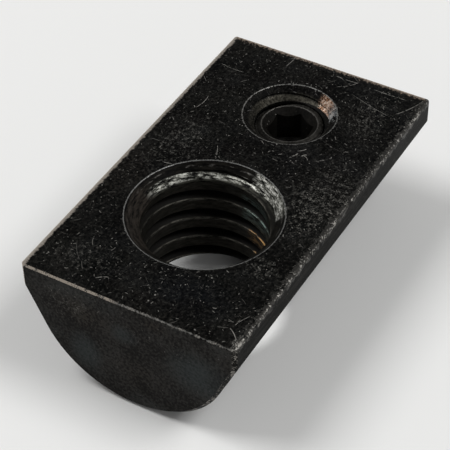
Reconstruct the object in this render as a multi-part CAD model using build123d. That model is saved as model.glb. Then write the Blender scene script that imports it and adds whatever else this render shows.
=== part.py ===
from build123d import *
import math
import os

# A steel T-slot nut with a D section: a flat clamping face on top and a round belly below, so
# that it rolls into the slot from the front. A large threaded hole takes the clamping bolt, and
# a small one holds a socket set screw that locks the nut in its place along the slot.
#
# Millimetres. X runs along the nut, from the bolt's end to the set screw's end, Y across it,
# and Z up. The origin is on the bolt's axis, in the flat clamping face.

# ---- nut body: section ----
body_width = 12.9          # over the two upright lands
body_height = 7.45         # clamping face to the lowest line of the belly
land_height = 1.5          # upright strip below each long edge of the clamping face
flank_angle = 24.5         # lean of the flat flanks from the upright, in degrees

# ---- nut body: length and hole places ----
bolt_end_distance = 8.0    # near end to the bolt's axis
hole_spacing = 9.6         # bolt's axis to the set screw's axis
screw_end_distance = 5.15  # set screw's axis to the far end

# ---- nut body: broken edges ----
long_edge_round = 0.15     # long edges of the clamping face
near_top_bevel = 0.10      # top edge of the near end
near_side_bevel = 0.22     # the rest of the near end's outline: lands, flanks and belly
far_edge_round = 0.28      # outline of the far end

# ---- bolt hole, 5/16-18 ----
bolt_thread_bore = 7.06    # over the thread's crests
bolt_thread_root = 7.94    # at the bottom of the thread's grooves
bolt_thread_pitch = 1.411
bolt_root_flat = 0.18      # width of the groove's flat bottom
thread_angle = 60.0        # included angle of the groove's flanks
thread_start_angle = 31.0  # where the groove starts, one pitch below the belly
bolt_rim_diameter = 8.68   # mouth of its countersink
bolt_exit_diameter = 9.2   # mouth of the countersink where the bolt comes out of the belly
countersink_angle = 90.0   # included angle of all the countersinks

# ---- set screw hole, 10-32 ----
screw_thread_bore = 4.04   # over the thread's crests
screw_rim_diameter = 5.44  # mouth of its countersink

# ---- set screw ----
screw_thread_clearance = 0.05   # radial gap between the screw and its bore
screw_length = 4.76
screw_recess = 0.72        # clamping face down to the screw's top
screw_top_chamfer = 0.12   # bevel round the socket end
screw_point_chamfer = 0.5  # bevel round the flat point
socket_across_flats = 2.38
socket_depth = 2.0
socket_mouth_diameter = 3.24    # rim of the socket's own countersink
drill_point_angle = 118.0  # bottom of the socket's drilled hole

body_length = bolt_end_distance + hole_spacing + screw_end_distance
half_width = body_width / 2
bolt_bore_radius = bolt_thread_bore / 2
screw_bore_radius = screw_thread_bore / 2
screw_radius = screw_bore_radius - screw_thread_clearance
cut_margin = 1.0           # how far each cutting solid runs past the surface it opens
groove_overlap = 0.3       # how far the thread's cutting profile reaches into the open bore


def nut_section():
    """The D: flat top, upright lands, and flanks that lean in and run into a round belly."""
    lean = math.radians(flank_angle)
    flank_drop = body_height - land_height
    belly_radius = (half_width * math.cos(lean) - flank_drop * math.sin(lean)) / (1 - math.sin(lean))
    tangent_y = belly_radius * math.cos(lean)
    tangent_z = belly_radius * (1 - math.sin(lean)) - body_height
    with BuildSketch(Plane.YZ) as section:
        with BuildLine():
            Polyline(
                (-tangent_y, tangent_z),
                (-half_width, -land_height),
                (-half_width, 0),
                (half_width, 0),
                (half_width, -land_height),
                (tangent_y, tangent_z),
            )
            ThreePointArc((tangent_y, tangent_z), (0, -body_height), (-tangent_y, tangent_z))
        make_face()
    return section.sketch


def nut_bar():
    """The section cut to length, with its long top edges and both its ends broken."""
    near_end = -bolt_end_distance
    bar = extrude(Pos(near_end, 0, 0) * nut_section(), body_length, dir=(1, 0, 0))
    near_top_edge = bar.faces().sort_by(Axis.X)[0].edges().sort_by(Axis.Z)[-1]
    bar = chamfer(near_top_edge, near_top_bevel)
    near_side_edges = bar.faces().sort_by(Axis.X)[0].edges().sort_by(Axis.Z)[:-1]
    bar = chamfer(near_side_edges, near_side_bevel)
    long_edges = bar.faces().sort_by(Axis.Z)[-1].edges().filter_by(Axis.X)
    bar = fillet(long_edges, long_edge_round)
    return fillet(bar.faces().sort_by(Axis.X)[-1].edges(), far_edge_round)


def countersink(bore_radius, rim_radius):
    """Cutting cone for the mouth of a hole on the Z axis, with its rim at Z = 0."""
    slope = math.tan(math.radians(countersink_angle / 2))
    cone_depth = (rim_radius - bore_radius) / slope
    return Pos(0, 0, (cut_margin - cone_depth) / 2) * Cone(
        bore_radius, rim_radius + cut_margin * slope, cone_depth + cut_margin
    )


def bore(radius, overrun):
    """Cutting cylinder that runs through the nut and past both its faces by the overrun."""
    return Pos(0, 0, -body_height / 2) * Cylinder(radius, body_height + 2 * overrun)


def thread_groove():
    """Cutting solid for the bolt's right-handed thread: one groove swept along a helix.

    It runs one pitch past both faces of the nut, and the bore's cutting solid runs past it, so
    that neither end of the groove is left in the metal.
    """
    root_radius = bolt_thread_root / 2
    inner_radius = bolt_bore_radius - groove_overlap
    half_root = bolt_root_flat / 2
    half_mouth = half_root + (root_radius - inner_radius) * math.tan(math.radians(thread_angle / 2))
    with BuildSketch(Plane.XZ) as profile:
        with BuildLine():
            Polyline(
                (inner_radius, -half_mouth),
                (root_radius, -half_root),
                (root_radius, half_root),
                (inner_radius, half_mouth),
                close=True,
            )
        make_face()
    helix = Helix(bolt_thread_pitch, body_height + 2 * bolt_thread_pitch, bolt_bore_radius)
    groove = sweep(profile.sketch, path=helix, is_frenet=True)
    start = Pos(0, 0, -body_height - bolt_thread_pitch) * Rot(0, 0, thread_start_angle)
    return start * groove


def bolt_hole():
    """Threaded through hole, countersunk at the clamping face and at the belly."""
    entry_cone = countersink(bolt_bore_radius, bolt_rim_diameter / 2)
    exit_cone = countersink(bolt_bore_radius, bolt_exit_diameter / 2)
    past_groove_ends = 3 * bolt_thread_pitch
    hole = bore(bolt_bore_radius, past_groove_ends) + thread_groove()
    return hole + entry_cone + Pos(0, 0, -body_height) * Rot(180, 0, 0) * exit_cone


def screw_hole():
    """Through hole for the set screw, countersunk at the clamping face."""
    entry_cone = countersink(screw_bore_radius, screw_rim_diameter / 2)
    return bore(screw_bore_radius, cut_margin) + entry_cone


def nut_body():
    return nut_bar() - bolt_hole() - Pos(hole_spacing, 0, 0) * screw_hole()


def hexagon_socket():
    """Cutting solid for the socket: hexagon, conical floor and countersunk mouth, top at Z = 0."""
    flat_radius = socket_across_flats / 2
    corner_radius = socket_across_flats / math.sqrt(3)
    floor_depth = flat_radius / math.tan(math.radians(drill_point_angle / 2))
    with BuildPart() as cutter:
        with BuildSketch():
            RegularPolygon(corner_radius, 6)
        extrude(amount=-socket_depth)
        with BuildSketch(Plane.XZ):
            with BuildLine():
                Polyline(
                    (0, -socket_depth - floor_depth),
                    (flat_radius, -socket_depth),
                    (flat_radius, 0),
                    (0, 0),
                    close=True,
                )
            make_face()
        revolve(axis=Axis.Z)
    return cutter.part + countersink(flat_radius, socket_mouth_diameter / 2)


def set_screw():
    with BuildPart() as screw:
        with BuildSketch(Plane.XZ):
            with BuildLine():
                Polyline(
                    (0, 0),
                    (screw_radius - screw_top_chamfer, 0),
                    (screw_radius, -screw_top_chamfer),
                    (screw_radius, screw_point_chamfer - screw_length),
                    (screw_radius - screw_point_chamfer, -screw_length),
                    (0, -screw_length),
                    close=True,
                )
            make_face()
        revolve(axis=Axis.Z)
    return Pos(hole_spacing, 0, -screw_recess) * (screw.part - hexagon_socket())


os.makedirs("parts", exist_ok=True)
for name, solid in {"nut_body": nut_body(), "set_screw": set_screw()}.items():
    print(name, round(solid.volume, 2), solid.bounding_box())
    export_step(solid, f"parts/{name}.step")
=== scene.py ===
# %% [markdown]
# # A T-slot nut with its set screw
#
# The real thing is a short bar of black-oxided steel with a D section. A threaded hole takes the
# clamping bolt, and a small set screw locks the nut in its slot. The solids come from the part's
# own CAD model, already in place, so this lesson is about light, finish and fine detail. We load
# the solids first and note the size of their box, because nothing we add may grow past it.

# %% Load the part
import math

import bmesh
import bpy
from mathutils import Matrix, Vector
from mathutils.bvhtree import BVHTree
from mathutils.interpolate import poly_3d_calc


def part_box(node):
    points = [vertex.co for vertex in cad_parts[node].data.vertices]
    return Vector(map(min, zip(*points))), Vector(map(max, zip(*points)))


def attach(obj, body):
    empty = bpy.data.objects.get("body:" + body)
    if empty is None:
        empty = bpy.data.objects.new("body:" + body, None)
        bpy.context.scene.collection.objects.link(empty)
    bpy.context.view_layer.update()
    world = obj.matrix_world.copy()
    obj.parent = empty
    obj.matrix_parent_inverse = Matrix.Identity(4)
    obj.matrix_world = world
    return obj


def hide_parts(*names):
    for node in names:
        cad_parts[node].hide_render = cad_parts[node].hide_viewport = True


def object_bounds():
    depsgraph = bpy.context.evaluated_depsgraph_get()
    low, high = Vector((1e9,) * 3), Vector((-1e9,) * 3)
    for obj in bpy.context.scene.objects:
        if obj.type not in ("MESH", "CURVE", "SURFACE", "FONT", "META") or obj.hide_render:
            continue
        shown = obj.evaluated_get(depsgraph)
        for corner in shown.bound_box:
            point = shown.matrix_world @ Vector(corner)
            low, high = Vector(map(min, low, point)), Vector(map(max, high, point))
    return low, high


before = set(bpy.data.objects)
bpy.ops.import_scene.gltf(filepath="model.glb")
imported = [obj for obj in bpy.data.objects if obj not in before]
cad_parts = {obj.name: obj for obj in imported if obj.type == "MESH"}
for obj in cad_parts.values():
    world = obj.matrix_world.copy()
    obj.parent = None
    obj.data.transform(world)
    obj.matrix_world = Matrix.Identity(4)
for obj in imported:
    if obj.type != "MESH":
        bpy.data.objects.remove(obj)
cad_box = [list(corner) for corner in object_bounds()]
MM = 0.001
scene = bpy.context.scene
print("nodes:", sorted(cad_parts), "box:", cad_box)

# %% [markdown]
# ## The camera
#
# A camera can be placed by typing its position, or by saying what it looks at and from which
# side. The second way is easier to read and to change, so we give an aim point on the nut, the
# compass angle and height we look from, the distance, and a small roll.

# %% Point the camera
aim_point = Vector((-0.302, -1.435, 0.0)) * MM
camera_azimuth = math.radians(-149.27)
camera_height = math.radians(42.80)
camera_distance = 87.82 * MM
camera_roll = math.radians(-1.165)


def direction_from(azimuth, height):
    """Unit vector that points from the part towards something seen at these angles."""
    flat = math.cos(height)
    return Vector((flat * math.cos(azimuth), flat * math.sin(azimuth), math.sin(height)))


def aim(thing, target, roll=0.0):
    """Turns a camera or lamp so that it faces the target, then rolls it about that line."""
    facing = (target - thing.location).to_track_quat("-Z", "Y").to_matrix()
    thing.rotation_euler = (facing @ Matrix.Rotation(roll, 3, "Z")).to_euler()


camera_data = bpy.data.cameras.new("camera")
camera_data.sensor_width = 36
camera_data.lens = 132.58
camera_data.clip_start = 1 * MM
camera_data.clip_end = 10
camera = bpy.data.objects.new("camera", camera_data)
scene.collection.objects.link(camera)
camera.location = aim_point + direction_from(camera_azimuth, camera_height) * camera_distance
aim(camera, aim_point, camera_roll)
scene.camera = camera
bpy.context.view_layer.update()
print("camera right", [round(v, 5) for v in camera.matrix_world.col[0]])
print("camera at", [round(v / MM, 2) for v in camera.location], "mm")

# %% [markdown]
# ## Floor and light
#
# Small dark metal parts are shot on a pale sheet under large soft lamps. Polished edges mirror
# whatever stands around them, so the room matters as much as the lamps: it is pale near the
# floor and darker overhead. The near end and the flanks then mirror pale paper while the flat
# face mirrors the dim ceiling. That, with painted light on the near end, tells the faces of a
# black part from each other.

# %% Lay the floor
lowest = cad_box[0][2]
floor_mesh = bpy.data.meshes.new("floor")
reach = 1.2
floor_mesh.from_pydata(
    [(-reach, -reach, lowest), (reach, -reach, lowest), (reach, reach, lowest), (-reach, reach, lowest)],
    [],
    [(0, 1, 2, 3)],
)
floor = bpy.data.objects.new("floor", floor_mesh)
scene.collection.objects.link(floor)

floor_paper = bpy.data.materials.new("floor_paper")
floor_paper.use_nodes = True
paper = floor_paper.node_tree.nodes["Principled BSDF"]
paper.inputs["Base Color"].default_value = (0.80, 0.80, 0.79, 1)
paper.inputs["Roughness"].default_value = 0.9
paper.inputs["Specular IOR Level"].default_value = 0.0
floor_mesh.materials.append(floor_paper)
print("floor at", round(lowest / MM, 2), "mm")

# %% Hang the lamps
def soft_lamp(name, azimuth, height, distance, size, power):
    """A square area lamp that faces the nut."""
    lamp_data = bpy.data.lights.new(name, "AREA")
    lamp_data.energy = power
    lamp_data.size = size
    lamp = bpy.data.objects.new(name, lamp_data)
    scene.collection.objects.link(lamp)
    lamp.location = direction_from(math.radians(azimuth), math.radians(height)) * distance
    aim(lamp, Vector((0.003, 0, 0)))
    print(name, "power", power, "W, size", size, "m")


soft_lamp("left_lamp", azimuth=110, height=60, distance=0.50, size=0.22, power=1.35)
soft_lamp("right_lamp", azimuth=-70, height=54, distance=0.60, size=0.24, power=1.8)

# %% Fill the room
room = bpy.data.worlds.new("room")
scene.world = room
room.use_nodes = True
room_tree = room.node_tree
horizon, ceiling = 0.62, 0.16
way = room_tree.nodes.new("ShaderNodeTexCoord")
way_parts = room_tree.nodes.new("ShaderNodeSeparateXYZ")
fade_up = room_tree.nodes.new("ShaderNodeMapRange")
room_tree.links.new(way.outputs["Generated"], way_parts.inputs[0])
room_tree.links.new(way_parts.outputs["Z"], fade_up.inputs["Value"])
for name, value in (("From Min", 0.15), ("From Max", 0.60), ("To Min", horizon), ("To Max", ceiling)):
    fade_up.inputs[name].default_value = value
room_light = room_tree.nodes["Background"]
room_light.inputs["Color"].default_value = (1.0, 1.0, 1.0, 1)
room_tree.links.new(fade_up.outputs["Result"], room_light.inputs["Strength"])
print("room: horizon", horizon, "ceiling", ceiling)
scene.view_settings.view_transform = "Standard"

# %% [markdown]
# ## The fine thread
#
# The solids carry the bolt's coarse thread, but the set screw and its hole are still plain. A
# thread this fine matters only to the eye, so we cut it here. A groove wound up a helix is a
# closed cutter, and Blender's Boolean modifier takes it out of a copy of the solid, which then
# stands in for the solid. A bump texture would be quicker, but it leaves the outline smooth.

# %% Wind a groove
fine_pitch = 25.4 / 32
groove_angle = 60
steps_per_turn = 40
screw_low, screw_high = [Vector(corner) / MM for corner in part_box("set_screw")]
nut_low, nut_high = [Vector(corner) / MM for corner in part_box("nut_body")]
screw_axis_x = (screw_low.x + screw_high.x) / 2
print("set screw axis at x =", round(screw_axis_x, 2), "mm")


def winding_groove(name, low, high, mouth_radius, root_radius):
    """Closed cutter for a groove that climbs round the set screw's axis."""
    half_root = fine_pitch / 16
    half_mouth = half_root + abs(root_radius - mouth_radius) * math.tan(math.radians(groove_angle / 2))
    profile = (
        (mouth_radius, -half_mouth),
        (root_radius, -half_root),
        (root_radius, half_root),
        (mouth_radius, half_mouth),
    )
    mesh = bmesh.new()
    rings = []
    for step in range(round((high - low) / fine_pitch * steps_per_turn) + 1):
        angle = math.tau * step / steps_per_turn
        climbed = low + fine_pitch * step / steps_per_turn
        rings.append([
            mesh.verts.new(Vector((
                screw_axis_x + radius * math.cos(angle), radius * math.sin(angle), climbed + rise)) * MM)
            for radius, rise in profile])
    for ring, following in zip(rings, rings[1:]):
        for corner in range(4):
            beside = (corner + 1) % 4
            mesh.faces.new((ring[corner], ring[beside], following[beside], following[corner]))
    mesh.faces.new(rings[0][::-1])
    mesh.faces.new(rings[-1])
    bmesh.ops.recalc_face_normals(mesh, faces=mesh.faces)
    groove = bpy.data.meshes.new(name)
    mesh.to_mesh(groove)
    mesh.free()
    print(name, "has", len(groove.polygons), "faces")
    return bpy.data.objects.new(name, groove)


# %% [markdown]
# ### Keeping the smooth shading
#
# A Boolean leaves long thin faces, and Blender's own smooth normals smear across them. The solid
# has good normals already, so each corner that still lies on the old surface takes its normal
# from there. Only the groove's own faces are shaded afresh, with sharp edges kept sharp.

# %% Cut the groove
weld_distance = 0.0001 * MM
step_into_face = 0.001 * MM
still_on_surface = 0.002 * MM
same_way = 0.98
sharp_angle = math.radians(28)


def old_normal(solid, corner_normals, lookup, face, corner_place):
    """Normal of the old surface under a corner of a new face, or None where the face is new."""
    sample = corner_place + (face.center - corner_place).normalized() * step_into_face
    nearest = lookup.find_nearest(sample)
    old_face = solid.polygons[nearest[2]]
    if nearest[3] > still_on_surface or old_face.normal.dot(face.normal) < same_way:
        return None
    corners = [solid.vertices[vertex].co for vertex in old_face.vertices]
    parts = poly_3d_calc(corners, nearest[0])
    blend = Vector((0, 0, 0))
    for part, corner in zip(parts, old_face.loop_indices):
        blend += corner_normals[corner].vector * part
    return blend.normalized()


def cut_groove(node_name, groove, name, body):
    """A copy of a solid with the groove cut out of it, which stands in for the solid."""
    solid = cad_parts[node_name].data
    welded = bmesh.new()
    welded.from_mesh(solid)
    bmesh.ops.remove_doubles(welded, verts=welded.verts, dist=weld_distance)
    mesh = bpy.data.meshes.new(name)
    welded.to_mesh(mesh)
    welded.free()
    piece = bpy.data.objects.new(name, mesh)
    scene.collection.objects.link(piece)
    scene.collection.objects.link(groove)
    cutting = piece.modifiers.new("groove", "BOOLEAN")
    cutting.solver = "EXACT"
    cutting.object = groove
    graph = bpy.context.evaluated_depsgraph_get()
    cut = bpy.data.meshes.new_from_object(piece.evaluated_get(graph))
    piece.modifiers.clear()
    piece.data = cut
    bpy.data.objects.remove(groove)
    cut.name = name
    cut.attributes.remove(cut.attributes["custom_normal"])
    cut.polygons.foreach_set("use_smooth", [True] * len(cut.polygons))
    cut.set_sharp_from_angle(angle=sharp_angle)
    lookup = BVHTree.FromPolygons(
        [vertex.co for vertex in solid.vertices], [list(face.vertices) for face in solid.polygons])
    fresh = [corner.vector.copy() for corner in cut.corner_normals]
    kept = 0
    for face in cut.polygons:
        for corner in face.loop_indices:
            place = cut.vertices[cut.loops[corner].vertex_index].co
            normal = old_normal(solid, solid.corner_normals, lookup, face, place)
            if normal is not None:
                fresh[corner] = normal
                kept += 1
    cut.normals_split_custom_set(fresh)
    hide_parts(node_name)
    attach(piece, body)
    print(name, "faces:", len(cut.polygons), "corners with their old normal:", kept, "of", len(fresh))
    return piece


# %% Thread the hole and the screw
turns_past = 1.2 * fine_pitch
hole_groove = winding_groove(
    "hole_groove", nut_low.z - turns_past, turns_past, mouth_radius=1.90, root_radius=2.413)
screw_groove = winding_groove(
    "screw_groove", screw_low.z - turns_past, screw_high.z + turns_past, mouth_radius=2.10, root_radius=1.66)
nut = cut_groove("nut_body", hole_groove, "nut_body_threaded", "nut")
set_screw = cut_groove("set_screw", screw_groove, "set_screw_threaded", "screw")

# %% [markdown]
# ## A few short words for building shaders
#
# A shader is a graph of small nodes. Typing every node and link by hand makes long code, so we
# first define helpers: for a node with its inputs, a sum, a noise, a ramp from 0 to 1, a blend of
# two colours or numbers, and a node group with named inputs and outputs.

# %% Shader helpers
def plug(tree, socket, value):
    """Fills a socket with a plain value, or links another node's output to it."""
    if isinstance(value, bpy.types.NodeSocket):
        tree.links.new(value, socket)
    else:
        socket.default_value = value


def add_node(tree, kind, settings=None, **inputs):
    """Adds a node, with its settings and its inputs."""
    made = tree.nodes.new("ShaderNode" + kind)
    for name, value in (settings or {}).items():
        setattr(made, name, value)
    for name, value in inputs.items():
        plug(tree, made.inputs[name.replace("_", " ")], value)
    return made


def calc(tree, operation, *values, clamp=False):
    """One sum: adds a Math node and gives back its result."""
    made = tree.nodes.new("ShaderNodeMath")
    made.operation = operation
    made.use_clamp = clamp
    for socket, value in zip(made.inputs, values):
        plug(tree, socket, value)
    return made.outputs["Value"]


def vector_calc(tree, operation, *values, scale=None):
    """The same for vectors. Dot products and lengths give back a number."""
    made = tree.nodes.new("ShaderNodeVectorMath")
    made.operation = operation
    for socket, value in zip(made.inputs, values):
        plug(tree, socket, value)
    if scale is not None:
        plug(tree, made.inputs["Scale"], scale)
    return made.outputs["Value" if operation in ("DOT_PRODUCT", "LENGTH") else "Vector"]


def across(tree, first, second):
    """Length of a diagonal from its two sides."""
    first_squared = calc(tree, "MULTIPLY", first, first)
    second_squared = calc(tree, "MULTIPLY", second, second)
    return calc(tree, "SQRT", calc(tree, "ADD", first_squared, second_squared))


def noise(tree, place, scale, detail, roughness):
    """Soft noise around one half."""
    return add_node(
        tree, "TexNoise", Vector=place, Scale=scale, Detail=detail, Roughness=roughness).outputs["Fac"]


def ramp(tree, value, low, high):
    """0 below low, 1 above high, straight in between. High may be the smaller of the two."""
    made = tree.nodes.new("ShaderNodeMapRange")
    made.clamp = True
    made.inputs["From Min"].default_value = low
    made.inputs["From Max"].default_value = high
    tree.links.new(value, made.inputs["Value"])
    return made.outputs["Result"]


# %% Helpers for blending
def blend(tree, data_type, socket_type, amount, first, second):
    """Goes from the first value to the second as the amount goes from 0 to 1."""
    made = tree.nodes.new("ShaderNodeMix")
    made.data_type = data_type
    ends = [socket for socket in made.inputs if socket.name in "AB" and socket.type == socket_type]
    for socket, value in zip([made.inputs["Factor"]] + ends, (amount, first, second)):
        plug(tree, socket, value)
    return [socket for socket in made.outputs if socket.type == socket_type][0]


def blend_colour(tree, amount, first, second):
    """Blends two colours."""
    return blend(tree, "RGBA", "RGBA", amount, first, second)


def blend_value(tree, amount, first, second):
    """Blends two plain numbers."""
    return blend(tree, "FLOAT", "VALUE", amount, first, second)


# %% Helpers for node groups
def new_group(name, inputs, outputs):
    """An empty node group. Inputs are (name, kind, default); outputs are (name, kind)."""
    tree = bpy.data.node_groups.new(name, "ShaderNodeTree")
    for title, kind, value in inputs:
        socket = tree.interface.new_socket(title, in_out="INPUT", socket_type="NodeSocket" + kind)
        if value is not None:
            socket.default_value = value
    for title, kind in outputs:
        tree.interface.new_socket(title, in_out="OUTPUT", socket_type="NodeSocket" + kind)
    entry = tree.nodes.new("NodeGroupInput")
    result = tree.nodes.new("NodeGroupOutput")
    print("group", name, "gives", [title for title, kind in outputs])
    return tree, entry.outputs, result.inputs


def use_group(tree, name, **inputs):
    """Places a group in a material and fills its inputs."""
    made = tree.nodes.new("ShaderNodeGroup")
    made.node_tree = bpy.data.node_groups[name]
    for title, value in inputs.items():
        plug(tree, made.inputs[title.replace("_", " ")], value)
    return made.outputs


# %% [markdown]
# ## Where on the nut are we?
#
# Wear depends on place: edges and hole rims rub bright, hollows stay black. Blender has a Bevel
# node that finds edges, but it is noisy at this size and can't tell one edge from another. The
# nut's form is simple, so the group below works out the distance to each edge from the surface
# point itself. It also gives the angle and radius about each hole's axis.

# %% Group: places on the nut
bolt_rim = 4.34
screw_rim = 2.72
thread_pitch = 1.411
thread_zero_height = -3.338
print("bolt rim", bolt_rim, "mm, set screw rim", screw_rim, "mm")

tree, given, gives = new_group(
    "places_on_nut",
    [],
    [(name, "Float") for name in (
        "Depth", "Near edge", "Far edge", "Left edge", "Right edge", "Bolt radius", "Bolt angle",
        "Bolt rim", "Screw radius", "Screw angle", "Screw rim", "Thread phase",
    )] + [("Millimetres", "Vector")],
)
coordinates = tree.nodes.new("ShaderNodeTexCoord")
millimetres = vector_calc(tree, "SCALE", coordinates.outputs["Object"], scale=1 / MM)
tree.links.new(millimetres, gives["Millimetres"])
split = add_node(tree, "SeparateXYZ", Vector=millimetres)
place_x, place_y, place_z = split.outputs
depth = calc(tree, "MULTIPLY", place_z, -1.0)
tree.links.new(depth, gives["Depth"])
for edge, coordinate, edge_place in (
    ("Near edge", place_x, nut_low.x),
    ("Far edge", place_x, nut_high.x),
    ("Left edge", place_y, nut_high.y),
    ("Right edge", place_y, nut_low.y),
):
    tree.links.new(across(tree, calc(tree, "SUBTRACT", coordinate, edge_place), depth), gives[edge])
for hole, axis_x, rim in (("Bolt", 0.0, bolt_rim), ("Screw", screw_axis_x, screw_rim)):
    from_axis = calc(tree, "SUBTRACT", place_x, axis_x)
    radius = across(tree, from_axis, place_y)
    tree.links.new(radius, gives[hole + " radius"])
    turn = calc(tree, "DEGREES", calc(tree, "ARCTAN2", place_y, from_axis))
    tree.links.new(turn, gives[hole + " angle"])
    tree.links.new(across(tree, calc(tree, "SUBTRACT", radius, rim), depth), gives[hole + " rim"])
    if hole == "Bolt":
        climbed = calc(tree, "MULTIPLY", turn, thread_pitch / 360)
        along = calc(tree, "SUBTRACT", calc(tree, "SUBTRACT", place_z, climbed), thread_zero_height)
        phase = calc(tree, "FRACT", calc(tree, "DIVIDE", along, thread_pitch))
        tree.links.new(phase, gives["Thread phase"])

# %% [markdown]
# ## Hairline scratches
#
# A scratch is a short, slightly bowed line with faded ends. A Voronoi texture scatters one cell
# per scratch. Inside each cell we draw the line at a random angle, in the plane of the surface,
# so that it comes out equally thin on every face. Painting an image would fix its resolution.

# %% Group: hairline scratches
def scatter_cells(tree, given):
    """Voronoi cells of a given spacing. The pattern number shifts them, so that layers differ."""
    pattern = given["Pattern"]
    shift = add_node(tree, "CombineXYZ", X=pattern, Y=pattern, Z=pattern).outputs[0]
    stretch = calc(tree, "DIVIDE", 1.0, given["Spacing"])
    stretched = vector_calc(tree, "SCALE", given["Millimetres"], scale=stretch)
    cell_place = vector_calc(tree, "ADD", stretched, shift)
    kind = {"voronoi_dimensions": "3D", "feature": "F1"}
    return cell_place, add_node(tree, "TexVoronoi", kind, Vector=cell_place, Scale=1.0)


def dice_from(tree, colour):
    """Three random numbers from a random colour."""
    return add_node(tree, "SeparateColor", Color=colour).outputs


tree, given, gives = new_group(
    "hairline_scratches",
    [("Millimetres", "Vector", None), ("Spacing", "Float", 1.0), ("Length", "Float", 1.0),
     ("Width", "Float", 0.03), ("Bow", "Float", 0.4), ("Share", "Float", 0.5), ("Pattern", "Float", 0.0)],
    [("Scratches", "Float")],
)
normal = tree.nodes.new("ShaderNodeTexCoord").outputs["Normal"]
cell_place, cells = scatter_cells(tree, given)
centre = cells.outputs["Position"]
offset = vector_calc(tree, "SCALE", vector_calc(tree, "SUBTRACT", cell_place, centre), scale=given["Spacing"])
chance = add_node(tree, "TexWhiteNoise", {"noise_dimensions": "3D"}, Vector=centre)
beside_centre = vector_calc(tree, "ADD", centre, (7.1, 3.3, 1.7))
chance_two = add_node(tree, "TexWhiteNoise", {"noise_dimensions": "3D"}, Vector=beside_centre)
dice = dice_from(tree, chance_two.outputs["Color"])
random_way = vector_calc(tree, "SUBTRACT", chance.outputs["Color"], (0.5, 0.5, 0.5))
along_way = vector_calc(tree, "NORMALIZE", vector_calc(tree, "CROSS_PRODUCT", normal, random_way))
across_way = vector_calc(tree, "CROSS_PRODUCT", normal, along_way)
run = vector_calc(tree, "DOT_PRODUCT", offset, along_way)
side = vector_calc(tree, "DOT_PRODUCT", offset, across_way)
reach_of_line = calc(tree, "MULTIPLY", given["Length"], calc(tree, "MULTIPLY_ADD", dice[1], 0.7, 0.3))
bend = calc(tree, "MULTIPLY", calc(tree, "SUBTRACT", dice[0], 0.5), given["Bow"])
bowed = calc(tree, "DIVIDE", calc(tree, "MULTIPLY", calc(tree, "MULTIPLY", run, run), bend), reach_of_line)
off_line = calc(tree, "ABSOLUTE", calc(tree, "SUBTRACT", side, bowed))
half_width = calc(tree, "MULTIPLY", given["Width"], calc(tree, "MULTIPLY_ADD", dice[2], 0.6, 0.4))
line = calc(tree, "SUBTRACT", 1.0, calc(tree, "DIVIDE", off_line, half_width), clamp=True)
to_end = calc(tree, "SUBTRACT", calc(tree, "MULTIPLY", reach_of_line, 0.5), calc(tree, "ABSOLUTE", run))
fade = calc(tree, "DIVIDE", to_end, calc(tree, "MULTIPLY", reach_of_line, 0.2), clamp=True)
picked = calc(tree, "LESS_THAN", chance.outputs["Value"], given["Share"])
strength = calc(tree, "MULTIPLY_ADD", calc(tree, "POWER", dice[2], 3.0), 0.85, 0.15)
drawn = calc(tree, "MULTIPLY", calc(tree, "MULTIPLY", line, fade), calc(tree, "MULTIPLY", picked, strength))
tree.links.new(drawn, gives["Scratches"])

# %% [markdown]
# ## Bright specks
#
# Small knocks leave dots of bare metal. The same cells serve: each picked cell gets a dot of its
# own random size.

# %% Group: bright specks
tree, given, gives = new_group(
    "bright_specks",
    [("Millimetres", "Vector", None), ("Spacing", "Float", 0.5), ("Size", "Float", 0.05),
     ("Share", "Float", 0.4), ("Pattern", "Float", 0.0)],
    [("Specks", "Float")],
)
cell_place, cells = scatter_cells(tree, given)
from_centre = calc(tree, "MULTIPLY", cells.outputs["Distance"], given["Spacing"])
dice = dice_from(tree, cells.outputs["Color"])
dot_size = calc(tree, "MULTIPLY", given["Size"], calc(tree, "MULTIPLY_ADD", dice[0], 0.8, 0.2))
to_rim = calc(tree, "SUBTRACT", dot_size, from_centre)
dot = calc(tree, "DIVIDE", to_rim, calc(tree, "MULTIPLY", dot_size, 0.5), clamp=True)
picked = calc(tree, "LESS_THAN", dice[1], given["Share"])
strength = calc(tree, "MULTIPLY_ADD", calc(tree, "POWER", dice[2], 2.5), 0.85, 0.15)
tree.links.new(calc(tree, "MULTIPLY", dot, calc(tree, "MULTIPLY", picked, strength)), gives["Specks"])

# %% [markdown]
# ## Worn edges and edge highlights
#
# Tumbling and handling rub the oxide off the corners. The band has a width of its own on each
# edge, and a noise texture eats into it, because an even line looks drawn. On two of the nut's
# edges the same band also carries a painted highlight.

# %% Group: worn edges and painted edge highlights
tree, given, gives = new_group(
    "edge_wear_and_highlight",
    [("Millimetres", "Vector", None), ("Distance", "Float", 1.0), ("Width", "Float", 0.1),
     ("Raggedness", "Float", 0.5), ("Grain", "Float", 6.0)],
    [("Bare", "Float")],
)
grain = noise(tree, given["Millimetres"], given["Grain"], detail=4.0, roughness=0.65)
uneven = calc(tree, "MULTIPLY", calc(tree, "SUBTRACT", grain, 0.5), given["Raggedness"])
local_width = calc(tree, "MULTIPLY", given["Width"], calc(tree, "MULTIPLY_ADD", uneven, 4.0, 1.0))
left_over = calc(tree, "SUBTRACT", local_width, given["Distance"])
bare = calc(tree, "DIVIDE", left_over, calc(tree, "MULTIPLY", given["Width"], 0.6), clamp=True)
tree.links.new(bare, gives["Bare"])

# %% [markdown]
# ## Cloudy oxide
#
# Black oxide is never one flat black. It has soft clouds a few millimetres across and a fine
# grain under them. This group mixes two noises and gives one value around one half.

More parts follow.
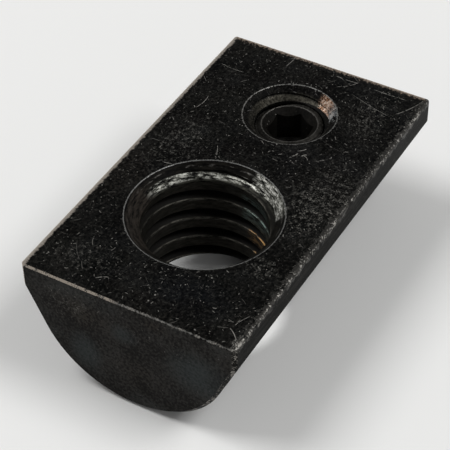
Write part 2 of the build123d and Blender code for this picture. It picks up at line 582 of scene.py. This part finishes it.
# %% Group: cloudy oxide
tree, given, gives = new_group(
    "cloudy_oxide",
    [("Millimetres", "Vector", None), ("Cloud size", "Float", 3.0), ("Grain size", "Float", 0.2),
     ("Grain part", "Float", 0.5)],
    [("Value", "Float")],
)
cloud_scale = calc(tree, "DIVIDE", 1.0, given["Cloud size"])
clouds = noise(tree, given["Millimetres"], cloud_scale, detail=3.0, roughness=0.55)
grain_scale = calc(tree, "DIVIDE", 1.0, given["Grain size"])
fine = noise(tree, given["Millimetres"], grain_scale, detail=3.0, roughness=0.6)
mixed = blend_value(tree, given["Grain part"], clouds, fine)
tree.links.new(mixed, gives["Value"])

# %% [markdown]
# ## Single scratches
#
# Random hairs make a surface look handled, but the deep marks sit in certain places: where the
# nut was pressed against a slot, or where a key slipped. Each gets its own stroke, given by its
# two ends, how far it bows, and its width. Noise breaks it up, as a real scratch skips.

# %% Group: single scratch
tree, given, gives = new_group(
    "single_scratch",
    [("Millimetres", "Vector", None), ("From", "Vector", (0.0, 0.0, 0.0)), ("To", "Vector", (1.0, 0.0, 0.0)),
     ("Bow", "Float", 0.0), ("Width", "Float", 0.05)],
    [("Scratch", "Float")],
)
flat_place = vector_calc(tree, "MULTIPLY", given["Millimetres"], (1.0, 1.0, 0.0))
along_way = vector_calc(tree, "SUBTRACT", given["To"], given["From"])
stroke_length = vector_calc(tree, "LENGTH", along_way)
unit_way = vector_calc(tree, "NORMALIZE", along_way)
from_start = vector_calc(tree, "SUBTRACT", flat_place, given["From"])
run = vector_calc(tree, "DOT_PRODUCT", from_start, unit_way)
side_way = vector_calc(tree, "CROSS_PRODUCT", unit_way, (0.0, 0.0, 1.0))
side = vector_calc(tree, "DOT_PRODUCT", from_start, side_way)
part = calc(tree, "DIVIDE", run, stroke_length)
arch = calc(tree, "MULTIPLY", calc(tree, "MULTIPLY", part, calc(tree, "SUBTRACT", 1.0, part)), 4.0)
off_line = calc(tree, "ABSOLUTE", calc(tree, "SUBTRACT", side, calc(tree, "MULTIPLY", arch, given["Bow"])))
half_width = calc(tree, "MULTIPLY", given["Width"], 0.5)
line = calc(tree, "SUBTRACT", 1.0, calc(tree, "DIVIDE", off_line, half_width), clamp=True)
ends = calc(tree, "MULTIPLY", arch, 3.0, clamp=True)
kept = ramp(tree, noise(tree, given["Millimetres"], 3.5, detail=2.0, roughness=0.6), 0.36, 0.52)
inside = calc(tree, "MULTIPLY", calc(tree, "GREATER_THAN", part, 0.0), calc(tree, "LESS_THAN", part, 1.0))
drawn = calc(tree, "MULTIPLY", calc(tree, "MULTIPLY", line, ends), calc(tree, "MULTIPLY", kept, inside))
tree.links.new(drawn, gives["Scratch"])

# %% [markdown]
# ## The nut's black oxide
#
# The finish is built up as it came about: a cloudy black skin, scuffs where parts rubbed
# together, hairlines and specks down to bare steel, bright edges and rims, and the marks that
# the tap and the bolt left in the two holes. Each layer is laid over the ones before it.

# %% Helpers for layers
def finish_material(name):
    """A new node material, with its tree and its Principled shader."""
    material = bpy.data.materials.new(name)
    material.use_nodes = True
    return material, material.node_tree, material.node_tree.nodes["Principled BSDF"]


def both(tree, *masks):
    """Where all the masks are 1."""
    result = masks[0]
    for mask in masks[1:]:
        result = calc(tree, "MULTIPLY", result, mask)
    return result


def either(tree, *masks):
    """Where any of the masks is 1."""
    result = masks[0]
    for mask in masks[1:]:
        result = calc(tree, "MAXIMUM", result, mask)
    return result


def window(tree, value, low, high, soft):
    """1 between low and high, with soft shoulders outside them."""
    return both(tree, ramp(tree, value, low - soft, low), ramp(tree, value, high + soft, high))


def cloudy(tree, here, cloud, grain, grain_part):
    """The cloudy oxide group, with its sizes in millimetres."""
    return use_group(
        tree, "cloudy_oxide", Millimetres=here, Cloud_size=cloud, Grain_size=grain,
        Grain_part=grain_part)["Value"]


def scattered_specks(tree, here, sorts):
    """Bright specks of several sorts, each with its spacing, size, share and pattern."""
    return either(tree, *[
        use_group(
            tree, "bright_specks", Millimetres=here, Spacing=spacing, Size=size, Share=share,
            Pattern=pattern)["Specks"]
        for spacing, size, share, pattern in sorts])


def two_tone(tree, value, low, high, dark, light):
    """A colour that goes from dark to light as the value goes from low to high."""
    return blend_colour(tree, ramp(tree, value, low, high), (*dark, 1), (*light, 1))


def paint_over(tree, finish, amount, colour, metal, rough):
    """Lays one finish over another: colour, metallic and roughness together."""
    return (
        blend_colour(tree, amount, finish[0], (*colour, 1) if isinstance(colour, tuple) else colour),
        blend_value(tree, amount, finish[1], metal),
        blend_value(tree, amount, finish[2], rough),
    )


def join_finish(tree, shader, finish, relief):
    """Sends the layers to the shader, and the relief to its normal."""
    for title, value in zip(("Base Color", "Metallic", "Roughness"), finish):
        tree.links.new(value, shader.inputs[title])
    shader.inputs["Specular IOR Level"].default_value = oxide_shine
    bump = add_node(tree, "Bump", Height=relief, Strength=0.4, Distance=relief_height)
    tree.links.new(bump.outputs["Normal"], shader.inputs["Normal"])


bare_steel = (0.50, 0.48, 0.44)
pit_black = (0.0006, 0.0006, 0.0006)
oxide_shine = 0.03
relief_height = 0.012 * MM

# %% Helper: soft patches
def soft_patch(tree, here, centre, reach):
    """A soft blob from its middle and its reach in millimetres. A reach of 0 means all along."""
    from_middle = vector_calc(tree, "SUBTRACT", here, centre)
    shrunk = vector_calc(tree, "MULTIPLY", from_middle, [1 / size if size else 0.0 for size in reach])
    return ramp(tree, vector_calc(tree, "LENGTH", shrunk), 1.0, 0.3)


def patch_map(tree, here, patches):
    """Several soft patches together, each with its own strength."""
    return either(tree, *[
        calc(tree, "MULTIPLY", soft_patch(tree, here, centre, reach), strength)
        for centre, reach, strength in patches])


# %% Nut: the black skin
nut_black, tree, shader = finish_material("nut_black_oxide")
places = use_group(tree, "places_on_nut")
here = places["Millimetres"]
facing = add_node(tree, "SeparateXYZ", Vector=tree.nodes.new("ShaderNodeTexCoord").outputs["Normal"]).outputs
on_top = both(tree, ramp(tree, facing[2], 0.93, 0.99), ramp(tree, places["Depth"], 0.05, 0.01))
on_end = ramp(tree, facing[0], -0.9, -0.99)
clouds = cloudy(tree, here, cloud=2.6, grain=0.17, grain_part=0.62)
broad = cloudy(tree, here, cloud=5.0, grain=1.3, grain_part=0.4)
black_skin = two_tone(tree, clouds, 0.43, 0.57, (0.0006, 0.0007, 0.0007), (0.0070, 0.0068, 0.0060))
# The near end gets a lighter copy of the oxide: painted light, for the light that the end face catches.
painted_light_end_skin = two_tone(tree, clouds, 0.42, 0.58, (0.0048, 0.0046, 0.0042), (0.0262, 0.0250, 0.0230))
skin = blend_colour(tree, on_end, black_skin, painted_light_end_skin)
blue_places = patch_map(tree, here, (
    ((-5.7, -2.4, 0.0), (2.0, 3.2, 1.5), 0.8),
    ((-8.0, -4.3, -2.9), (0.5, 2.3, 1.9), 1.0),
    ((-8.0, 2.7, -4.7), (0.5, 1.2, 1.7), 0.9),
    ((-8.0, 0.2, -2.2), (0.5, 1.0, 0.8), 0.7),
))
brown_places = patch_map(tree, here, (
    ((-8.0, 2.9, -1.9), (0.5, 2.4, 1.4), 1.0),
    ((-8.0, -1.7, -0.6), (0.5, 1.1, 0.6), 0.9),
    ((-8.0, -0.6, -4.8), (0.5, 2.0, 2.0), 0.5),
    ((1.0, 5.6, 0.0), (3.0, 1.6, 1.5), 0.7),
))
blue_drift = both(tree, ramp(tree, broad, 0.51, 0.58), blend_value(tree, on_end, 0.30, 0.25))
bluish = calc(tree, "MULTIPLY", either(tree, blue_places, blue_drift), 0.75)
blue_skin = two_tone(tree, clouds, 0.44, 0.60, (0.0009, 0.0012, 0.0018), (0.0042, 0.0052, 0.0070))
# The near end's bluish copy is lighter too: painted light on the end face.
painted_light_blue_end_skin = two_tone(tree, clouds, 0.40, 0.60, (0.0170, 0.0212, 0.0220), (0.0335, 0.0395, 0.0400))
skin = blend_colour(tree, bluish, skin, blend_colour(tree, on_end, blue_skin, painted_light_blue_end_skin))
brown_drift = both(tree, ramp(tree, broad, 0.47, 0.40), blend_value(tree, on_end, 0.35, 0.25))
brownish = both(tree, either(tree, brown_places, brown_drift), blend_value(tree, on_end, 0.45, 0.85))
brown_skin = two_tone(tree, clouds, 0.45, 0.56, (0.0040, 0.0032, 0.0026), (0.0270, 0.0232, 0.0192))
skin = blend_colour(tree, brownish, skin, brown_skin)
on_sides = both(
    tree, ramp(tree, facing[2], 0.9, 0.5), ramp(tree, facing[0], -0.3, -0.1), ramp(tree, facing[0], 0.3, 0.1),
    ramp(tree, places["Bolt radius"], 4.6, 4.8), ramp(tree, places["Screw radius"], 2.5, 2.8))
along_bar = vector_calc(tree, "MULTIPLY", here, (0.22, 5.0, 5.0))
drawing_lines = ramp(tree, noise(tree, along_bar, 1.0, detail=4.0, roughness=0.7), 0.47, 0.66)
skin = blend_colour(tree, both(tree, on_sides, drawing_lines), skin, (0.0180, 0.0170, 0.0152, 1))
finish = (skin, 0.0, blend_value(tree, ramp(tree, clouds, 0.35, 0.65), 0.40, 0.55))
print(nut_black.name, "has its skin")

# %% [markdown]
# ### Scuffs, hairs and specks
#
# The flat face has been rubbed most. It carries grey mottled scuffs, short hairs and dots of bare
# steel, thickest in a few worn patches, while the end and the flanks show only a few.

# %% Nut: scuffs and pits
worn_places = patch_map(tree, here, (
    ((3.6, -4.9, 0.0), (4.2, 2.0, 1.0), 1.0),
    ((-6.1, 3.4, 0.0), (1.5, 2.8, 1.0), 0.40),
    ((-2.2, -4.8, 0.0), (1.0, 1.2, 1.0), 0.9),
    ((11.5, -4.2, 0.0), (2.6, 1.8, 1.0), 0.6),
    ((4.5, 4.3, 0.0), (3.6, 1.8, 1.0), 0.6),
    ((-8.0, 3.6, -1.4), (0.6, 2.8, 1.8), 0.8),
))
scuff_grain = cloudy(tree, here, cloud=0.30, grain=0.10, grain_part=0.55)
scuff_level = calc(
    tree, "ADD", calc(tree, "MULTIPLY", worn_places, 0.056), calc(tree, "MULTIPLY", clouds, 0.25))
scuffs = ramp(tree, calc(tree, "ADD", scuff_grain, scuff_level), 0.655, 0.775)
rubbed_elsewhere = blend_value(tree, on_end, 0.30, calc(tree, "MULTIPLY_ADD", worn_places, 0.6, 0.15))
rubbed = either(tree, on_top, rubbed_elsewhere)
scuff_colour = blend_colour(
    tree, both(tree, worn_places, ramp(tree, scuff_grain, 0.53, 0.64)),
    (0.032, 0.031, 0.028, 1), (0.150, 0.145, 0.130, 1))
scuffed = both(tree, scuffs, rubbed, blend_value(tree, worn_places, 0.60, 0.95))
finish = paint_over(tree, finish, scuffed, scuff_colour, 0.25, 0.6)
pits = both(tree, ramp(tree, scuff_grain, 0.46, 0.38), rubbed, blend_value(tree, on_end, 0.9, 0.5))
finish = paint_over(tree, finish, pits, pit_black, 0.0, 0.5)
print("scuffs and pits laid on")

# %% Nut: hairs and specks
hair_sorts = (
    (1.9, 2.2, 0.020, 1.0, 0.30, 2.0, 0.26),
    (0.9, 0.7, 0.022, 0.9, 0.34, 9.0, 0.60),
    (0.36, 0.24, 0.026, 1.2, 0.48, 5.0, 0.95),
)
sorts_of_hair = []
for spacing, length, width, bow, share, pattern, weight in hair_sorts:
    sort = use_group(
        tree, "hairline_scratches", Millimetres=here, Spacing=spacing, Length=length, Width=width, Bow=bow,
        Share=share, Pattern=pattern)["Scratches"]
    sorts_of_hair.append(calc(tree, "MULTIPLY", sort, weight))
hairs = either(tree, *sorts_of_hair)
specks = scattered_specks(tree, here, ((0.50, 0.062, 0.42, 1.0), (0.18, 0.036, 0.45, 4.0)))
drifts = ramp(tree, noise(tree, here, 0.45, detail=2.0, roughness=0.5), 0.40, 0.60)
marks_elsewhere = blend_value(tree, on_end, 0.15, calc(tree, "MULTIPLY_ADD", worn_places, 0.45, 0.22))
marks = both(
    tree, either(tree, hairs, specks), either(tree, on_top, marks_elsewhere),
    either(tree, worn_places, blend_value(tree, drifts, 0.35, 0.95)))
finish = paint_over(tree, finish, marks, bare_steel, 1.0, 0.42)
print("sorts of hair:", len(sorts_of_hair))

# %% Nut: the deep scratches
strokes = (
    ((-7.3, -6.1), (-6.7, -5.4), 0.05, 0.055),
    ((-6.6, -5.5), (-5.5, -5.9), -0.06, 0.035),
    ((-4.9, 2.8), (-4.2, 2.9), 0.12, 0.06),
    ((-7.0, 2.4), (-6.6, 1.8), -0.05, 0.05),
    ((7.5, 5.0), (8.8, 4.9), 0.10, 0.045),
    ((13.9, -3.2), (13.9, -5.3), 0.02, 0.05),
    ((14.0, -0.7), (14.0, -2.2), 0.05, 0.04),
    ((12.3, -5.2), (14.4, -6.2), 0.12, 0.045),
    ((13.1, -1.2), (14.2, -2.2), 0.15, 0.035),
    ((13.4, 2.3), (14.5, 2.2), 0.03, 0.04),
    ((6.35, -1.85), (6.75, -2.05), 0.06, 0.10),
    ((6.95, -2.00), (7.30, -2.30), 0.05, 0.06),
    ((6.60, -2.35), (6.85, -2.55), -0.04, 0.08),
    ((6.45, -2.80), (6.70, -2.45), 0.06, 0.045),
    ((6.6, -3.2), (7.3, -3.9), 0.05, 0.04),
    ((2.5, 4.2), (2.6, 3.6), 0.02, 0.04),
    ((4.1, 1.7), (5.2, 2.2), 0.02, 0.04),
    ((11.8, 5.8), (11.7, 4.2), 0.06, 0.025),
    ((12.9, -2.3), (12.1, -5.0), 0.05, 0.025),
)
drawn_strokes = [
    use_group(
        tree, "single_scratch", Millimetres=here, From=(*from_point, 0.0), To=(*to_point, 0.0), Bow=bow,
        Width=width)["Scratch"]
    for from_point, to_point, bow, width in strokes]
deep = both(tree, either(tree, *drawn_strokes), on_top)
finish = paint_over(tree, finish, calc(tree, "MULTIPLY", deep, 0.75), bare_steel, 1.0, 0.40)
print("deep scratches:", len(strokes))

# %% [markdown]
# ### Edges and rims
#
# The long left edge and the far edge carry bright bands, partly rubbed steel and partly a
# painted highlight, with a tan tinge where heat or handling browned the steel. The near edge
# keeps a thin ragged line, and the right one a dull band with bright knocks in it.

# %% Nut: edges and rims
edge_wear_and_highlights = (
    ("Near edge", 0.085, 0.45, 5.0, (0.27, 0.265, 0.25), 0.45),
    # Left edge and Far edge: wide bright bands, partly worn steel and partly a painted highlight.
    ("Left edge", 0.30, 0.35, 4.0, (0.58, 0.52, 0.45), 0.34),
    ("Far edge", 0.40, 0.6, 6.0, (0.42, 0.335, 0.265), 0.40),
    ("Right edge", 0.320, 1.3, 2.6, (0.048, 0.046, 0.042), 0.50),
    ("Right edge", 0.060, 1.9, 5.0, (0.26, 0.25, 0.235), 0.45),
    ("Bolt rim", 0.042, 1.0, 8.0, (0.26, 0.26, 0.25), 0.42),
    ("Screw rim", 0.040, 1.5, 7.0, (0.26, 0.255, 0.24), 0.42),
)
for place, width, raggedness, grain, colour, rough in edge_wear_and_highlights:
    mark = use_group(
        tree, "edge_wear_and_highlight", Millimetres=here, Distance=places[place], Width=width, Raggedness=raggedness,
        Grain=grain)["Bare"]
    finish = paint_over(tree, finish, mark, colour, 1.0, rough)
print("edges:", [sort[0] for sort in edge_wear_and_highlights])

# %% Nut: the near end's bevel and the right edge's knocks
place_x, place_y, place_z = add_node(tree, "SeparateXYZ", Vector=here).outputs
near_bevel = both(tree, window(tree, facing[0], -0.85, -0.50, 0.1), ramp(tree, place_x, -7.70, -7.76))
bevel_grain = cloudy(tree, here, cloud=0.45, grain=0.08, grain_part=0.6)
left_bevel = both(tree, near_bevel, ramp(tree, place_y, 0.4, 1.2), ramp(tree, bevel_grain, 0.42, 0.54))
upper_left_bevel = both(tree, left_bevel, ramp(tree, place_z, -3.2, -1.2))
finish = paint_over(tree, finish, upper_left_bevel, (0.52, 0.47, 0.41), 1.0, 0.40)
finish = paint_over(tree, finish, calc(tree, "MULTIPLY", left_bevel, 0.45), (0.34, 0.27, 0.21), 1.0, 0.42)
right_bevel = both(tree, near_bevel, ramp(tree, place_y, 1.2, 0.0), ramp(tree, bevel_grain, 0.52, 0.62))
finish = paint_over(tree, finish, calc(tree, "MULTIPLY", right_bevel, 0.75), (0.34, 0.32, 0.29), 1.0, 0.42)
right_knocks = both(
    tree, ramp(tree, places["Right edge"], 0.40, 0.08), ramp(tree, scuff_grain, 0.555, 0.620))
finish = paint_over(tree, finish, calc(tree, "MULTIPLY", right_knocks, 0.85), bare_steel, 1.0, 0.42)
corner_knock = both(
    tree, soft_patch(tree, here, (-7.8, -6.3, 0.0), (0.9, 0.40, 0.5)), ramp(tree, bevel_grain, 0.48, 0.56),
    ramp(tree, facing[2], 0.3, 0.8))
finish = paint_over(tree, finish, corner_knock, bare_steel, 1.0, 0.42)
print("bevel and knocks laid on")

# %% [markdown]
# ### The bolt hole
#
# Scraping by the tap and many bolts has left the lower half of the countersink bright on the far
# side. On one stretch all of it is bright, partly steel bared by scraping and partly a painted
# highlight, with painted glints. Streaks run round the hole, so their noise is stretched along
# the angle. The thread's crests are rubbed grey, with oil-brown and blue-green stains.

# %% Nut: the bolt hole's countersink
turn, radius, depth = places["Bolt angle"], places["Bolt radius"], places["Depth"]
round_the_hole = add_node(
    tree, "CombineXYZ", X=calc(tree, "MULTIPLY", radius, 7.0), Y=calc(tree, "MULTIPLY", turn, 0.11),
    Z=calc(tree, "MULTIPLY", depth, 7.0)).outputs[0]
streaks = noise(tree, round_the_hole, 1.0, detail=4.0, roughness=0.7)
in_cone = both(tree, window(tree, radius, 3.55, 4.31, 0.02), window(tree, depth, 0.03, 0.79, 0.02))
cone_skin = two_tone(tree, streaks, 0.40, 0.62, (0.0016, 0.0016, 0.0015), (0.0110, 0.0100, 0.0080))
finish = paint_over(tree, finish, calc(tree, "MULTIPLY", in_cone, 0.9), cone_skin, 0.0, 0.45)
outer_ring = both(tree, window(tree, radius, 4.10, 4.16, 0.03), ramp(tree, streaks, 0.52, 0.66))
cone_marks = both(
    tree, in_cone, either(tree, calc(tree, "MULTIPLY", specks, 0.5), outer_ring),
    blend_value(tree, scuffs, 0.3, 0.8))
finish = paint_over(tree, finish, cone_marks, (0.30, 0.29, 0.27), 1.0, 0.42)
scraped_low = both(
    tree, window(tree, turn, -50, 78, 12), window(tree, radius, 3.62, 3.90, 0.05),
    ramp(tree, streaks, 0.42, 0.56))
# On this stretch the whole countersink is bright: partly steel bared by scraping, partly a painted highlight.
scraped_and_highlit_stretch = both(tree, window(tree, turn, -56, -18, 8), ramp(tree, streaks, 0.38, 0.50))
scraped_and_highlit_cone = both(tree, in_cone, either(tree, calc(tree, "MULTIPLY", scraped_low, 0.9), scraped_and_highlit_stretch))
streak_swing = calc(tree, "MULTIPLY", calc(tree, "SUBTRACT", streaks, 0.5), 0.6)
scraped_and_highlight_colour = two_tone(
    tree, calc(tree, "ADD", scuff_grain, streak_swing), 0.44, 0.60, (0.110, 0.110, 0.095), (0.42, 0.42, 0.38))
finish = paint_over(tree, finish, scraped_and_highlit_cone, scraped_and_highlight_colour, 0.9, 0.46)
# Painted glints: spots of painted highlight on that bright stretch.
painted_glints = both(
    tree, in_cone, scraped_and_highlit_stretch, ramp(tree, streaks, 0.50, 0.60), ramp(tree, scuff_grain, 0.46, 0.54))
finish = paint_over(tree, finish, painted_glints, (0.80, 0.79, 0.74), 1.0, 0.40)
first_turn = both(
    tree, window(tree, depth, 0.80, 1.6, 0.1), window(tree, radius, 3.5, 3.99, 0.03),
    window(tree, turn, -60, 80, 8), ramp(tree, streaks, 0.40, 0.6))
finish = paint_over(tree, finish, first_turn, (0.030, 0.030, 0.024), 0.5, 0.45)
sheen = both(
    tree, window(tree, turn, 92, 150, 16), window(tree, depth, 0.05, 1.5, 0.4), ramp(tree, radius, 4.30, 4.16),
    ramp(tree, streaks, 0.36, 0.72))
finish = paint_over(tree, finish, sheen, (0.042, 0.035, 0.029), 0.7, 0.38)
print("countersink of the bolt hole laid on")

# %% Nut: the bolt hole's thread
in_thread = both(
    tree, ramp(tree, depth, 0.86, 0.95), ramp(tree, radius, 4.1, 4.05), ramp(tree, radius, 3.40, 3.45))
crest = both(tree, in_thread, ramp(tree, radius, 3.62, 3.56))
groove = both(tree, in_thread, ramp(tree, radius, 3.56, 3.62))
finish = paint_over(tree, finish, calc(tree, "MULTIPLY", groove, 0.8), (0.0095, 0.0090, 0.0078), 0.0, 0.5)
crest_colour = two_tone(tree, streaks, 0.35, 0.65, (0.009, 0.0085, 0.007), (0.030, 0.028, 0.023))
finish = paint_over(tree, finish, crest, crest_colour, 0.5, 0.45)
# A thin bright line along each crest's upper edge: partly burnished steel, partly a painted highlight.
burnished_edge_and_highlight = both(
    tree, in_thread, window(tree, places["Thread phase"], 0.70, 0.75, 0.03), ramp(tree, streaks, 0.44, 0.58))
finish = paint_over(tree, finish, burnished_edge_and_highlight, (0.075, 0.072, 0.062), 0.8, 0.42)
brown = both(
    tree, crest, window(tree, turn, -40, -18, 8), window(tree, depth, 3.0, 5.0, 0.4),
    ramp(tree, streaks, 0.46, 0.58))
finish = paint_over(tree, finish, brown, (0.20, 0.115, 0.045), 0.9, 0.42)
green = both(
    tree, crest, window(tree, turn, -40, -12, 9), window(tree, depth, 1.4, 3.0, 0.3),
    ramp(tree, streaks, 0.44, 0.58))
finish = paint_over(tree, finish, green, (0.085, 0.115, 0.105), 0.9, 0.42)
print("thread of the bolt hole laid on")

# %% [markdown]
# ### The set screw's hole
#
# Its countersink is bruised by the key. One stretch is bright, partly bare steel and partly a
# painted highlight, browned to copper at one end, and the back of the cone is dark with a few dots.

# %% Nut: the set screw's hole
turn, radius = places["Screw angle"], places["Screw radius"]
in_cone = both(tree, window(tree, radius, 2.04, 2.69, 0.02), window(tree, depth, 0.03, 0.69, 0.02))
bruise_grain = cloudy(tree, here, cloud=0.30, grain=0.09, grain_part=0.6)
cone_skin = two_tone(tree, bruise_grain, 0.46, 0.62, (0.0010, 0.0010, 0.0010), (0.0150, 0.0142, 0.0125))
finish = paint_over(tree, finish, calc(tree, "MULTIPLY", in_cone, 0.9), cone_skin, 0.0, 0.45)
cone_marks = both(tree, in_cone, either(tree, specks, hairs))
finish = paint_over(tree, finish, cone_marks, (0.30, 0.29, 0.28), 1.0, 0.42)
band_amount = blend_value(tree, window(tree, turn, -40, 80, 35), 0.30, 0.90)
inner_band = both(tree, in_cone, ramp(tree, radius, 2.40, 2.30), band_amount)
band_colour = two_tone(tree, bruise_grain, 0.43, 0.61, (0.0110, 0.0102, 0.0080), (0.060, 0.056, 0.045))
finish = paint_over(tree, finish, inner_band, band_colour, 0.5, 0.42)
turn_swing = calc(tree, "MULTIPLY", calc(tree, "SUBTRACT", bruise_grain, 0.5), 70.0)
ragged_turn = calc(tree, "ADD", turn, turn_swing)
# Bare steel bruised by the key, with a painted highlight on it; the copper end is its real tint.
bruise_and_highlight = both(tree, in_cone, window(tree, ragged_turn, -64, -24, 5), ramp(tree, bruise_grain, 0.40, 0.47))
cold_bruise_and_highlight = two_tone(tree, scuff_grain, 0.44, 0.56, (0.10, 0.105, 0.11), (0.46, 0.46, 0.45))
warm_bruise_and_highlight = two_tone(tree, scuff_grain, 0.44, 0.58, (0.22, 0.115, 0.065), (0.56, 0.44, 0.36))
bruise_and_highlight_colour = blend_colour(tree, ramp(tree, ragged_turn, -54, -38), cold_bruise_and_highlight, warm_bruise_and_highlight)
finish = paint_over(tree, finish, bruise_and_highlight, bruise_and_highlight_colour, 0.9, 0.50)
print("set screw's hole laid on")

# %% [markdown]
# ### Joining the nut's finish to its shader
#
# Bare steel is a metal and the oxide is not, so the same masks drive colour, metallic and
# roughness. The bump uses scuffs, hairs and deep scratches, a few thousandths of a millimetre.

# %% Nut: join the layers
relief = calc(tree, "MULTIPLY", scuff_grain, 0.6)
relief = calc(tree, "SUBTRACT", relief, calc(tree, "MULTIPLY", hairs, 0.5))
relief = calc(tree, "SUBTRACT", relief, calc(tree, "MULTIPLY", deep, 1.2))
relief = calc(tree, "ADD", relief, both(tree, streaks, in_thread))
join_finish(tree, shader, finish, relief)
print(nut_black.name, "nodes:", len(tree.nodes))

# %% [markdown]
# ## The set screw's finish
#
# The screw is blackened too. Its rim and the mouth of its socket are rubbed to a dull ring.

# %% Material: screw
screw_black, tree, shader = finish_material("screw_black_oxide")
places = use_group(tree, "places_on_nut")
here = places["Millimetres"]
radius, depth = places["Screw radius"], places["Depth"]
screw_top = -screw_high.z
socket_mouth_radius = 1.62
clouds = cloudy(tree, here, cloud=0.7, grain=0.12, grain_part=0.5)
skin = two_tone(tree, clouds, 0.35, 0.65, (0.0022, 0.0021, 0.0019), (0.0110, 0.0102, 0.0088))
finish = (skin, 0.0, blend_value(tree, clouds, 0.40, 0.60))
ring_amount = blend_value(tree, window(tree, places["Screw angle"], 60, 165, 25), 0.85, 0.12)
face_ring = both(
    tree, ramp(tree, radius, 1.60, 1.66), ramp(tree, depth, screw_top + 0.06, screw_top + 0.02), ring_amount)
ring_colour = two_tone(tree, clouds, 0.42, 0.60, (0.0110, 0.0104, 0.0090), (0.044, 0.042, 0.037))
finish = paint_over(tree, finish, face_ring, ring_colour, 0.6, 0.42)
crests = both(
    tree, ramp(tree, radius, 1.90, 1.95), ramp(tree, depth, screw_top + 0.06, screw_top + 0.12),
    ramp(tree, clouds, 0.42, 0.60))
finish = paint_over(tree, finish, calc(tree, "MULTIPLY", crests, 0.8), (0.10, 0.096, 0.090), 0.8, 0.42)
mouth_edge = across(
    tree, calc(tree, "SUBTRACT", radius, socket_mouth_radius), calc(tree, "SUBTRACT", depth, screw_top))
mouth = use_group(
    tree, "edge_wear_and_highlight", Millimetres=here, Distance=mouth_edge, Width=0.05, Raggedness=0.9, Grain=6.0)["Bare"]
finish = paint_over(tree, finish, calc(tree, "MULTIPLY", mouth, 0.8), (0.12, 0.115, 0.105), 0.9, 0.42)
specks = scattered_specks(tree, here, ((0.30, 0.05, 0.35, 3.0),))
finish = paint_over(tree, finish, calc(tree, "MULTIPLY", specks, 0.6), bare_steel, 1.0, 0.42)
join_finish(tree, shader, finish, clouds)
print(screw_black.name, "nodes:", len(tree.nodes))

# %% Put the finishes on
for piece, surface in ((nut, nut_black), (set_screw, screw_black)):
    piece.data.materials.clear()
    piece.data.materials.append(surface)
    print(piece.name, "wears", surface.name)
